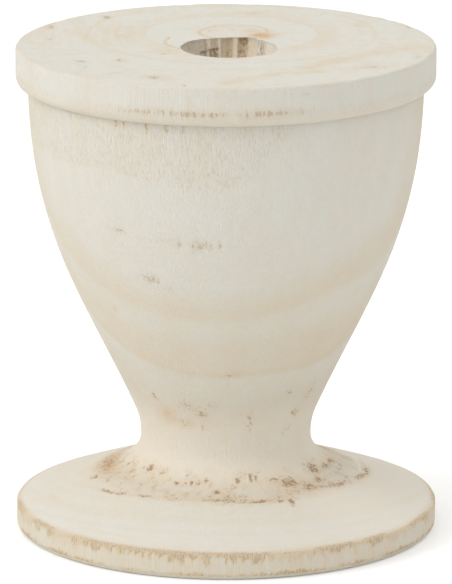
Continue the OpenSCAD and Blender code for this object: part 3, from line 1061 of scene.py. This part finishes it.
def make_dowels(name, radius, low, high, centres):
    """Dowels with bevelled ends and glue flutes: at each height the radius is cut back at the ends by a
    bevel and all round by a share of (1 + cos 18a) / 2, for an angle a round the dowel."""
    a = np.linspace(0, 2 * math.pi, DOWEL_COLUMNS, endpoint=False)
    tip = steps(0, DOWEL_BEVEL, 3)
    shaft = steps(low + DOWEL_BEVEL, high - DOWEL_BEVEL, 20)
    height = np.concatenate([[low], low + tip, shaft, high - tip[-2::-1], [high]])
    from_end = np.minimum(height - low, high - height)
    cut = 0.6 * np.maximum(0, DOWEL_BEVEL - from_end)
    flutes = FLUTE_DEPTH * (0.5 + 0.5 * np.cos(DOWEL_FLUTES * a))
    reach = (radius - cut)[:, None] - flutes * ramp(DOWEL_BEVEL, 2 * DOWEL_BEVEL, from_end)[:, None]
    here = np.arange(reach.size).reshape(reach.shape)
    aside = np.roll(here, -1, axis=1)
    quads = np.stack([here[:-1], aside[:-1], aside[1:], here[1:]], axis=-1).reshape(-1, 4)
    places, faces = [], []
    for x, y in centres:
        first = (reach.size + 2) * len(places)
        around = np.broadcast_arrays(x + reach * np.cos(a), y + reach * np.sin(a), height[:, None])
        places.append(np.vstack([np.stack(around, axis=-1).reshape(-1, 3), [(x, y, low), (x, y, high)]]))
        faces += (quads + first).tolist()
        faces += pole_faces(here + first, aside + first, first + reach.size, first + reach.size + 1)
    mesh = bpy.data.meshes.new(name)
    mesh.from_pydata((np.vstack(places) * MM).tolist(), [], faces)
    mesh.shade_smooth()
    return placed_object(name, mesh)


# ------------------------------------------------------------------ materials

# Ring count and how bare the wood is there, 0 under full whitewash to 1 bare, for each turned part.
TOP_RINGS = (
    (0, 0.16), (8.0, 0.16), (9.5, 0.1), (14, 0.06), (20.6, 0.06), (21.4, 0.42), (22.2, 0.32), (25.5, 0.24),
    (28.0, 0.1), (34, 0.1), (35.4, 0.36), (36.2, 0.08), (41.4, 0.08), (42.2, 0.18), (43.0, 0.1), (62, 0.1),
)
CUP_RINGS = (
    (0, 0.34), (33, 0.32), (37.5, 0.36), (39.6, 0.24), (41.7, 0.2), (42.0, 0.46), (42.4, 0.64),
    (42.9, 0.52), (46.2, 0.46), (47.0, 0.32), (48.0, 0.24), (49.4, 0.26), (50.1, 0.52), (50.9, 0.5),
    (51.9, 0.36), (53.6, 0.16), (59, 0.1), (60.5, 0.12), (62, 0.14),
)
FOOT_RINGS = (
    (0, 0.22), (40, 0.25), (43.2, 0.3), (44.4, 0.2), (48.4, 0.2), (49.6, 0.06), (50.8, 0.3), (52.0, 0.24),
    (53.2, 0.04), (55.5, 0.04), (56.5, 0.14), (57.5, 0.04), (60.2, 0.04), (61.4, 0.2), (63, 0.1), (66, 0.12),
)
MOST_RINGS = 70.0


def feed(tree, socket, value):
    """Gives a socket a value, or links another node's output to it."""
    if isinstance(value, bpy.types.NodeSocket):
        tree.links.new(value, socket)
    else:
        socket.default_value = value


def add(tree, kind, inputs=None, **settings):
    """Adds a shader node. inputs gives a socket, by name or number, a value or another node's output."""
    made = tree.nodes.new(kind)
    for name, value in settings.items():
        setattr(made, name, value)
    for socket, value in (inputs or {}).items():
        feed(tree, made.inputs[socket], value)
    return made


def calc(tree, operation, a, b=0.0, clamp=False):
    """The output of one Math node."""
    return add(tree, "ShaderNodeMath", {0: a, 1: b}, operation=operation, use_clamp=clamp).outputs[0]


def span(tree, value, low, high, to_low=0.0, to_high=1.0):
    """The output of a smooth Map Range node from low..high to to_low..to_high."""
    inputs = {"Value": value, "From Min": low, "From Max": high, "To Min": to_low, "To Max": to_high}
    return add(tree, "ShaderNodeMapRange", inputs, interpolation_type="SMOOTHSTEP").outputs["Result"]


def mixed(tree, share, first, second):
    """The output of a node that mixes two colours."""
    made = add(tree, "ShaderNodeMix", data_type="RGBA")
    for name, value in (("Factor_Float", share), ("A_Color", first), ("B_Color", second)):
        feed(tree, next(s for s in made.inputs if s.identifier == name), value)
    return next(s for s in made.outputs if s.identifier == "Result_Color")


def grain(tree, millimetres, width, length, detail=2.0, shift=0.0, roughness=0.55):
    """Noise of a width across the fibres and a length along them, both in millimetres. About 0.5."""
    size = (1 / width, 1 / width, 1 / length)
    place = {"Vector": millimetres, "Location": (shift, -shift, shift), "Scale": size}
    placed = add(tree, "ShaderNodeMapping", place)
    inputs = {"Vector": placed.outputs[0], "Scale": 1.0, "Detail": detail, "Roughness": roughness}
    return add(tree, "ShaderNodeTexNoise", inputs).outputs["Fac"]


def in_millimetres(tree):
    """Object coordinates in millimetres."""
    place = add(tree, "ShaderNodeTexCoord").outputs["Object"]
    return add(tree, "ShaderNodeVectorMath", {0: place, 1: (1 / MM,) * 3}, operation="MULTIPLY").outputs[0]


def new_group(name, inputs, outputs):
    """An empty node group with named sockets. inputs gives each its kind and default value."""
    tree = bpy.data.node_groups.new(name, "ShaderNodeTree")
    for label, (kind, default) in inputs.items():
        socket = tree.interface.new_socket(name=label, in_out="INPUT", socket_type="NodeSocket" + kind)
        socket.default_value = default
    for label, kind in outputs.items():
        tree.interface.new_socket(name=label, in_out="OUTPUT", socket_type="NodeSocket" + kind)
    return tree, tree.nodes.new("NodeGroupInput").outputs, tree.nodes.new("NodeGroupOutput").inputs


def fibre_group():
    """Fine structure of sawn wood: upright fibres, soft patches and a dense speck, each about 0."""
    tree, given, out = new_group(
        "Wood fibres",
        {"Width": ("Float", 0.55), "Length": ("Float", 11.0)},
        {"Fibres": "Float", "Patches": "Float", "Specks": "Float"},
    )
    place = in_millimetres(tree)
    across = calc(tree, "DIVIDE", 1.0, given["Width"])
    along = calc(tree, "DIVIDE", 1.0, given["Length"])
    size = add(tree, "ShaderNodeCombineXYZ", {"X": across, "Y": across, "Z": along}).outputs[0]
    stretched = add(tree, "ShaderNodeVectorMath", {0: place, 1: size}, operation="MULTIPLY").outputs[0]
    inputs = {"Vector": stretched, "Scale": 1.0, "Detail": 3.0, "Roughness": 0.6}
    fibres = add(tree, "ShaderNodeTexNoise", inputs)
    tree.links.new(span(tree, fibres.outputs["Fac"], 0.3, 0.7, -1.0, 1.0), out["Fibres"])
    tree.links.new(span(tree, grain(tree, place, 7.0, 16.0, 3.0, 5.3), 0.3, 0.7, -1.0, 1.0), out["Patches"])
    tree.links.new(span(tree, grain(tree, place, 0.35, 0.6, 2.0, 9.1), 0.3, 0.7, -1.0, 1.0), out["Specks"])
    return tree


def torn_group():
    """Torn wood. Pits are short upright gashes that stand as thickly as Torn says, and the thicker
    they stand the browner they are. Crumbs are ragged broken patches that grow out of the middle of
    where Brown is high."""
    tree, given, out = new_group(
        "Torn grain",
        {"Torn": ("Float", 0.0), "Brown": ("Float", 0.0)},
        {"Pits": "Float", "Crumbs": "Float"},
    )
    place = in_millimetres(tree)
    pricks = grain(tree, place, 0.2, 1.5, 1.5, 2.7)
    level = calc(tree, "SUBTRACT", 0.67, calc(tree, "MULTIPLY", given["Torn"], 0.22))
    over = span(tree, calc(tree, "SUBTRACT", pricks, level), 0.0, 0.1)
    faint = span(tree, given["Torn"], 0.02, 0.2, 0.0, 0.34)
    deep = span(tree, given["Torn"], 0.72, 0.95, 0.0, 0.45)
    fine = calc(tree, "MULTIPLY", over, calc(tree, "ADD", faint, deep))
    gash = grain(tree, place, 0.5, 3.4, 1.0, 4.1)
    grown = calc(tree, "ADD", gash, calc(tree, "MULTIPLY", given["Torn"], 0.2))
    clear = span(tree, given["Torn"], 0.64, 0.72, 0.0, 0.7)
    strong = calc(tree, "MULTIPLY", span(tree, grown, 0.67, 0.76), clear)
    tree.links.new(calc(tree, "MAXIMUM", fine, strong), out["Pits"])
    crumb = grain(tree, place, 0.75, 0.8, 3.0, 7.9, 0.62)
    grown = calc(tree, "ADD", crumb, calc(tree, "MULTIPLY", given["Brown"], 0.22))
    present = span(tree, given["Brown"], 0.02, 0.3)
    present = calc(tree, "MULTIPLY", present, span(tree, given["Brown"], 0.3, 1.0, 0.6, 1.0))
    tree.links.new(calc(tree, "MULTIPLY", span(tree, grown, 0.62, 0.76), present), out["Crumbs"])
    return tree


def whitewash_group():
    """Colour, height and roughness of whitewashed wood. Tint is how bare it is, and the next four
    masks are how pitted, broken, amber and pale it is; the pale mask is partly pale wood and partly painted
    light on shaded places."""
    colours = ("Wash", "Bare", "Pit", "Amber", "Weathered And Painted Light")
    masks = ("Tint", "Pits", "Crumbs", "Amber Share", "Pale Share", "Fibres", "Specks")
    inputs = {name: ("Color", (0.5, 0.5, 0.5, 1.0)) for name in colours}
    inputs.update({name: ("Float", 0.0) for name in masks})
    outputs = {"Color": "Color", "Height": "Float", "Roughness": "Float"}
    tree, given, out = new_group("Whitewash", inputs, outputs)
    colour = mixed(tree, calc(tree, "MINIMUM", given["Tint"], 1.0, clamp=True), given["Wash"], given["Bare"])
    # The pale layer mixes in the pale colour, which is partly pale wood and partly painted light.
    layers = (("Amber Share", 0.9, "Amber"), ("Pale Share", 0.85, "Weathered And Painted Light"), ("Pits", 0.7, "Pit"))
    for mask, strength, shown in (*layers, ("Crumbs", 0.85, "Pit")):
        share = calc(tree, "MULTIPLY", given[mask], strength, clamp=True)
        colour = mixed(tree, share, colour, given[shown])
    tree.links.new(colour, out["Color"])
    height = calc(tree, "MULTIPLY", given["Fibres"], 0.13)
    height = calc(tree, "ADD", height, calc(tree, "MULTIPLY", given["Specks"], 0.08))
    height = calc(tree, "SUBTRACT", height, calc(tree, "MULTIPLY", given["Pits"], 0.24))
    height = calc(tree, "SUBTRACT", height, calc(tree, "MULTIPLY", given["Crumbs"], 0.32))
    tree.links.new(height, out["Height"])
    rough = calc(tree, "ADD", 0.82, calc(tree, "MULTIPLY", given["Specks"], 0.04))
    rough = calc(tree, "ADD", rough, calc(tree, "MULTIPLY", given["Tint"], 0.08), clamp=True)
    tree.links.new(rough, out["Roughness"])
    return tree


def linear(colour):
    """A screen colour as the light that it stands for: ((c + 0.055) / 1.055)^2.4, or c / 12.92 near 0."""
    return tuple(c / 12.92 if c <= 0.04045 else ((c + 0.055) / 1.055) ** 2.4 for c in colour) + (1.0,)


def placed_group(tree, name, build, inputs):
    """Outputs of a node group put into a material. It is built the first time it is asked for."""
    made = tree.nodes.new("ShaderNodeGroup")
    made.node_tree = bpy.data.node_groups.get(name) or build()
    for socket, value in inputs.items():
        feed(tree, made.inputs[socket], value)
    return made.outputs


def new_material(name):
    """A material with an empty node tree, and that tree."""
    material = bpy.data.materials.new(name)
    material.use_nodes = True
    material.node_tree.nodes.clear()
    return material, material.node_tree


def whitewashed(name, finish, ring_tints):
    """Whitewashed wood for one turned part, with that part's run of growth rings."""
    material, tree = new_material(name)
    mark = {
        m: add(tree, "ShaderNodeAttribute", attribute_type="GEOMETRY", attribute_name=m).outputs["Fac"]
        for m in MARKS
    }
    wood = placed_group(tree, "Wood fibres", fibre_group, {"Width": 0.34, "Length": 9.0})
    torn = placed_group(tree, "Torn grain", torn_group, {"Torn": mark["torn"], "Brown": mark["brown"]})

    counted = calc(tree, "DIVIDE", mark["ring"], MOST_RINGS)
    ramp_node = add(tree, "ShaderNodeValToRGB", {"Fac": counted})
    ladder = ramp_node.color_ramp.elements
    while len(ladder) < len(ring_tints):
        ladder.new(1.0)
    for step, (count, bare) in zip(ladder, ring_tints):
        step.position = count / MOST_RINGS
        step.color = (bare, bare, bare, 1.0)
    tint_now = calc(tree, "ADD", ramp_node.outputs["Color"], mark["tan"])
    tint_now = calc(tree, "ADD", tint_now, calc(tree, "MULTIPLY", wood["Patches"], 0.08))
    lines = calc(tree, "MULTIPLY", wood["Fibres"], calc(tree, "MULTIPLY", mark["fibres"], 0.6))
    tint_now = calc(tree, "ADD", tint_now, lines)
    tint_now = calc(tree, "ADD", tint_now, calc(tree, "MULTIPLY", wood["Specks"], 0.04))
    wash = placed_group(tree, "Whitewash", whitewash_group, {
        "Wash": linear(finish.wash),
        "Bare": linear(finish.bare),
        "Pit": linear(finish.pit),
        "Amber": linear(finish.amber),
        "Weathered And Painted Light": linear(finish.weathered_and_painted_light),
        "Tint": tint_now,
        "Pits": torn["Pits"],
        "Crumbs": torn["Crumbs"],
        "Amber Share": mark["amber"],
        "Pale Share": mark["weathered_and_painted_light"],
        "Fibres": wood["Fibres"],
        "Specks": wood["Specks"],
    })
    bump = add(tree, "ShaderNodeBump", {"Height": wash["Height"], "Strength": 1.0, "Distance": 0.0003})
    shader = add(tree, "ShaderNodeBsdfPrincipled", {
        "Base Color": wash["Color"],
        "Roughness": wash["Roughness"],
        "Normal": bump.outputs[0],
        "Specular IOR Level": 0.25,
    })
    add(tree, "ShaderNodeOutputMaterial", {"Surface": shader.outputs[0]})
    return material


def dowel_wood(finish):
    """Plain beech: short fine fibres, a soft shine, and pores."""
    material, tree = new_material("dowel_wood")
    wood = placed_group(tree, "Wood fibres", fibre_group, {"Width": 0.3, "Length": 4.0})
    pale = linear(finish.dowel)
    dark = linear(tuple(0.86 * c for c in finish.dowel))
    share = calc(tree, "ADD", 0.4, calc(tree, "MULTIPLY", wood["Fibres"], 0.35), clamp=True)
    colour = mixed(tree, share, pale, dark)
    rough = calc(tree, "ADD", 0.6, calc(tree, "MULTIPLY", wood["Specks"], 0.08))
    bump = add(tree, "ShaderNodeBump", {"Height": wood["Fibres"], "Strength": 0.6, "Distance": 0.0001})
    inputs = {"Base Color": colour, "Roughness": rough, "Normal": bump.outputs[0]}
    shader = add(tree, "ShaderNodeBsdfPrincipled", inputs)
    add(tree, "ShaderNodeOutputMaterial", {"Surface": shader.outputs[0]})
    return material


# ------------------------------------------------------------------ operators

# The stage, in metres: the paper floor and the two soft boxes.
FLOOR_REACH = 6.0
FLOOR_CLEARANCE = 0.00001
KEY_PLACE = (-1.85, -0.75, 1.45)
KEY_WIDTH = 1.2
FILL_PLACE = (1.5, 0.9, 1.5)
FILL_WIDTH = 1.6


class CandlestickFoot(bpy.types.Operator):
    """Makes the foot disc with its torn ring and rubbed edges"""

    bl_idname = "candlestick.make_foot"
    bl_label = "Foot"

    def execute(self, context):
        scene = context.scene
        material = whitewashed("whitewashed_foot", scene.candlestick_finish, FOOT_RINGS)
        finish_piece(make_foot(scene.candlestick_sizes), material, "whitewashed_foot", "foot_disc")
        return {"FINISHED"}


class CandlestickCup(bpy.types.Operator):
    """Makes the cup on its narrow waist, with the lower part of the candle hole"""

    bl_idname = "candlestick.make_cup"
    bl_label = "Cup"

    def execute(self, context):
        scene = context.scene
        material = whitewashed("whitewashed_cup", scene.candlestick_finish, CUP_RINGS)
        finish_piece(make_cup(scene.candlestick_sizes), material, "whitewashed_cup", "cup_body")
        return {"FINISHED"}


class CandlestickRim(bpy.types.Operator):
    """Makes the rim plate with the upper part of the candle hole"""

    bl_idname = "candlestick.make_rim"
    bl_label = "Rim plate"

    def execute(self, context):
        scene = context.scene
        material = whitewashed("whitewashed_rim", scene.candlestick_finish, TOP_RINGS)
        finish_piece(make_rim(scene.candlestick_sizes), material, "whitewashed_rim", "rim_plate")
        return {"FINISHED"}


class CandlestickDowels(bpy.types.Operator):
    """Makes the foot's dowel and the rim's two dowels"""

    bl_idname = "candlestick.make_dowels"
    bl_label = "Dowels"

    def execute(self, context):
        material = dowel_wood(context.scene.candlestick_finish)
        for node, sides in (("foot_dowel", (0,)), ("rim_dowels", (-1, 1))):
            radius, reach = dowel_layout(node)
            centres = [(side * reach, 0) for side in sides]
            low, high = cad_size(node, 0, 2), cad_size(node, 1, 2)
            piece = make_dowels(node + "_wood", radius, low, high, centres)
            finish_piece(piece, material, "dowel_wood", node, sharp=50)
        return {"FINISHED"}


def aim(thing, target):
    """Turns a camera or lamp to look at a place."""
    thing.rotation_euler = (Vector(target) - thing.location).to_track_quat("-Z", "Y").to_euler()


def soft_box(name, place, target, width, power):
    """A square area lamp that lights the stage and isn't seen itself."""
    lamp = bpy.data.lights.new(name, "AREA")
    lamp.shape, lamp.size, lamp.energy = "SQUARE", width, power
    box = placed_object(name, lamp)
    box.location = place
    aim(box, target)
    box.visible_camera = False


class CandlestickStaging(bpy.types.Operator):
    """Sets the floor, the room light, two soft boxes and the camera"""

    bl_idname = "candlestick.make_stage"
    bl_label = "Stage"

    def execute(self, context):
        scene, stage = context.scene, context.scene.candlestick_stage
        a = np.linspace(0, 2 * math.pi, 96, endpoint=False)
        level = float(cad_low[2]) - FLOOR_CLEARANCE
        ring = np.column_stack([FLOOR_REACH * np.cos(a), FLOOR_REACH * np.sin(a), np.full_like(a, level)])
        mesh = bpy.data.meshes.new("stage_floor")
        mesh.from_pydata(ring.tolist(), [], [list(range(len(a)))])
        floor = placed_object("stage_floor", mesh)
        paper = bpy.data.materials.new("stage_paper")
        paper.use_nodes = True
        shader = paper.node_tree.nodes["Principled BSDF"]
        shader.inputs["Base Color"].default_value = (0.89, 0.89, 0.885, 1.0)
        shader.inputs["Roughness"].default_value = 0.95
        shader.inputs["Specular IOR Level"].default_value = 0.1
        shader.inputs["Emission Color"].default_value = (1.0, 1.0, 1.0, 1.0)
        shader.inputs["Emission Strength"].default_value = stage.glow
        mesh.materials.append(paper)

        world = bpy.data.worlds.new("stage_room")
        world.use_nodes = True
        room = world.node_tree
        upward = add(room, "ShaderNodeSeparateXYZ", {0: add(room, "ShaderNodeTexCoord").outputs["Generated"]})
        strength = span(room, upward.outputs["Z"], 0.0, 0.5, stage.sky, stage.ceiling)
        room.nodes["Background"].inputs["Color"].default_value = (1.0, 1.0, 1.0, 1.0)
        room.links.new(strength, room.nodes["Background"].inputs["Strength"])
        scene.world = world
        scene.view_settings.view_transform = "Standard"

        target = (0.0, 0.0, stage.aim_height)
        soft_box("key_box", KEY_PLACE, target, KEY_WIDTH, stage.key_power)
        soft_box("fill_box", FILL_PLACE, target, FILL_WIDTH, stage.fill_power)

        lens = bpy.data.cameras.new("camera")
        lens.lens, lens.sensor_width, lens.sensor_fit = stage.focal_length, 36.0, "AUTO"
        lens.clip_start, lens.clip_end = 0.05, 30.0
        camera = placed_object("camera", lens)
        back, up = math.cos(stage.camera_elevation), math.sin(stage.camera_elevation)
        camera.location = (0.0, -stage.camera_distance * back, stage.aim_height + stage.camera_distance * up)
        aim(camera, target)
        scene.camera = camera
        return {"FINISHED"}


class CandlestickPanel(bpy.types.Panel):
    """Lists the parts of the candlestick, its sizes and its finish"""

    bl_idname = "VIEW3D_PT_candlestick"
    bl_label = "Turned candlestick"
    bl_space_type = "VIEW_3D"
    bl_region_type = "UI"
    bl_category = "Candlestick"

    def draw(self, context):
        layout = self.layout
        for operator in OPERATORS:
            layout.operator(operator.bl_idname)
        for settings in SETTINGS:
            group = getattr(context.scene, settings)
            box = layout.box()
            for name in group.__annotations__:
                box.prop(group, name)


OPERATORS = (CandlestickStaging, CandlestickFoot, CandlestickCup, CandlestickRim, CandlestickDowels)
SETTINGS = {
    "candlestick_sizes": CandlestickSizes,
    "candlestick_finish": CandlestickFinish,
    "candlestick_stage": CandlestickStage,
}
CLASSES = (*SETTINGS.values(), *OPERATORS, CandlestickPanel)


def register():
    """Registers every class and adds the settings to the scene."""
    for cls in CLASSES:
        bpy.utils.register_class(cls)
    for name, cls in SETTINGS.items():
        setattr(bpy.types.Scene, name, PointerProperty(type=cls))


def unregister():
    """Takes away what register added."""
    for name in SETTINGS:
        delattr(bpy.types.Scene, name)
    for cls in reversed(CLASSES):
        bpy.utils.unregister_class(cls)


def main():
    """Makes everything: the stage, the foot, the cup, the rim plate and the dowels."""
    register()
    bpy.ops.candlestick.make_stage()
    bpy.ops.candlestick.make_foot()
    bpy.ops.candlestick.make_cup()
    bpy.ops.candlestick.make_rim()
    bpy.ops.candlestick.make_dowels()


if __name__ == "__main__":
    main()
